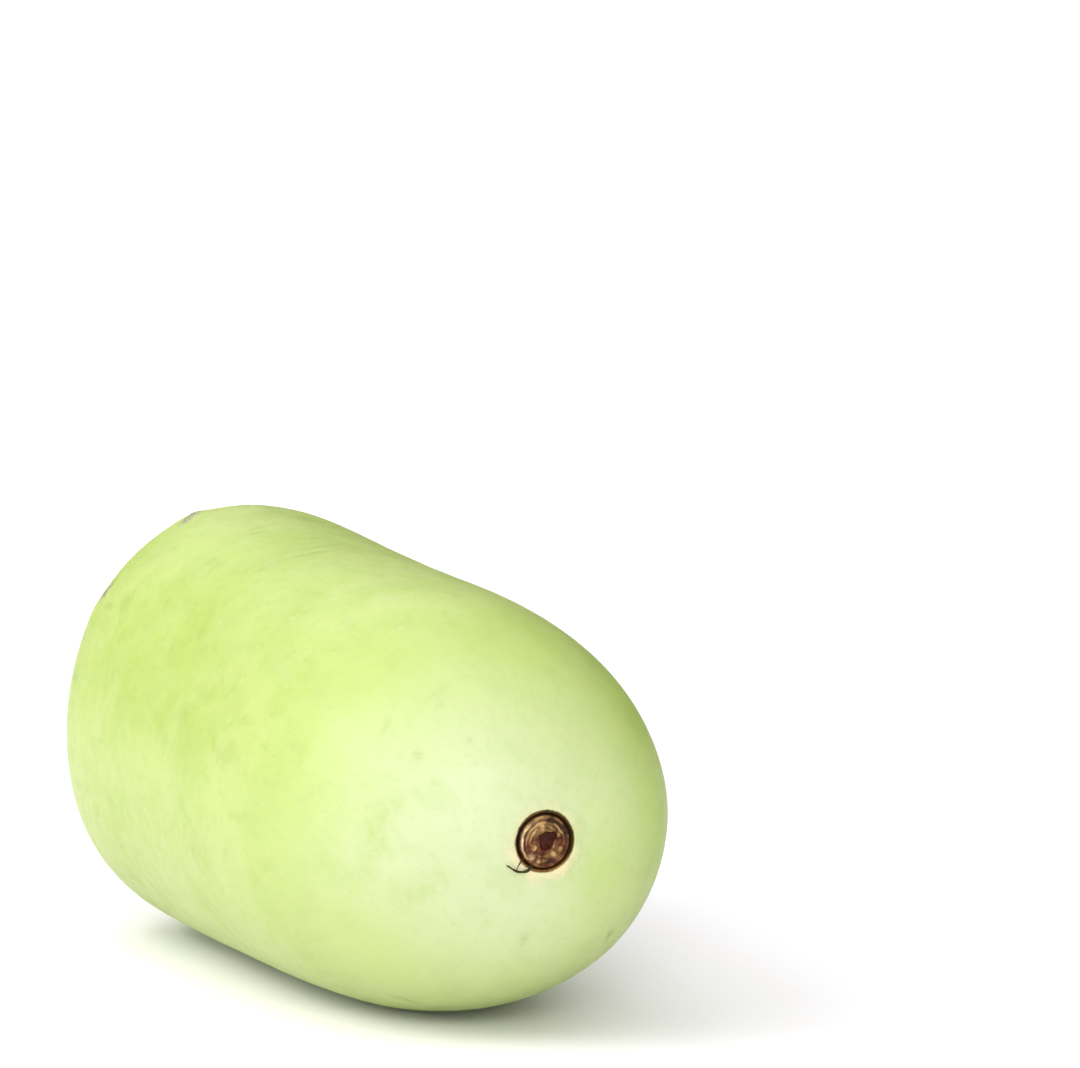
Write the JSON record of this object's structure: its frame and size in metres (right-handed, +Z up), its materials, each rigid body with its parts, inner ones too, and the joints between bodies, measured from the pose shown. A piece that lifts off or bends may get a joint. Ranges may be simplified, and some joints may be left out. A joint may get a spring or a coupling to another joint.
{
  "type": "bottle gourd",
  "caption": "Short, pale green bottle gourd as picked, lying on its side, with a cut stalk at one end and a dried blossom scar at the other.",
  "frame": {"origin": "bottom centre of the whole object's box, on the surface it rests on", "axes": "+X along the fruit towards the blossom end, +Z up"},
  "size_m": [0.228, 0.1034, 0.105],
  "materials": {
    "gourd_skin": "smooth waxy pale green skin with faint mottling, paler round the blossom end",
    "stalk": "green ribbed stalk with a dry brown cut face",
    "scar_cork": "dried brown corky scar with a dull shine"
  },
  "bodies": {
    "root": {"gourd": "gourd_skin", "stem_stub": "stalk", "blossom_scar": "scar_cork"}
  },
  "joints": []
}
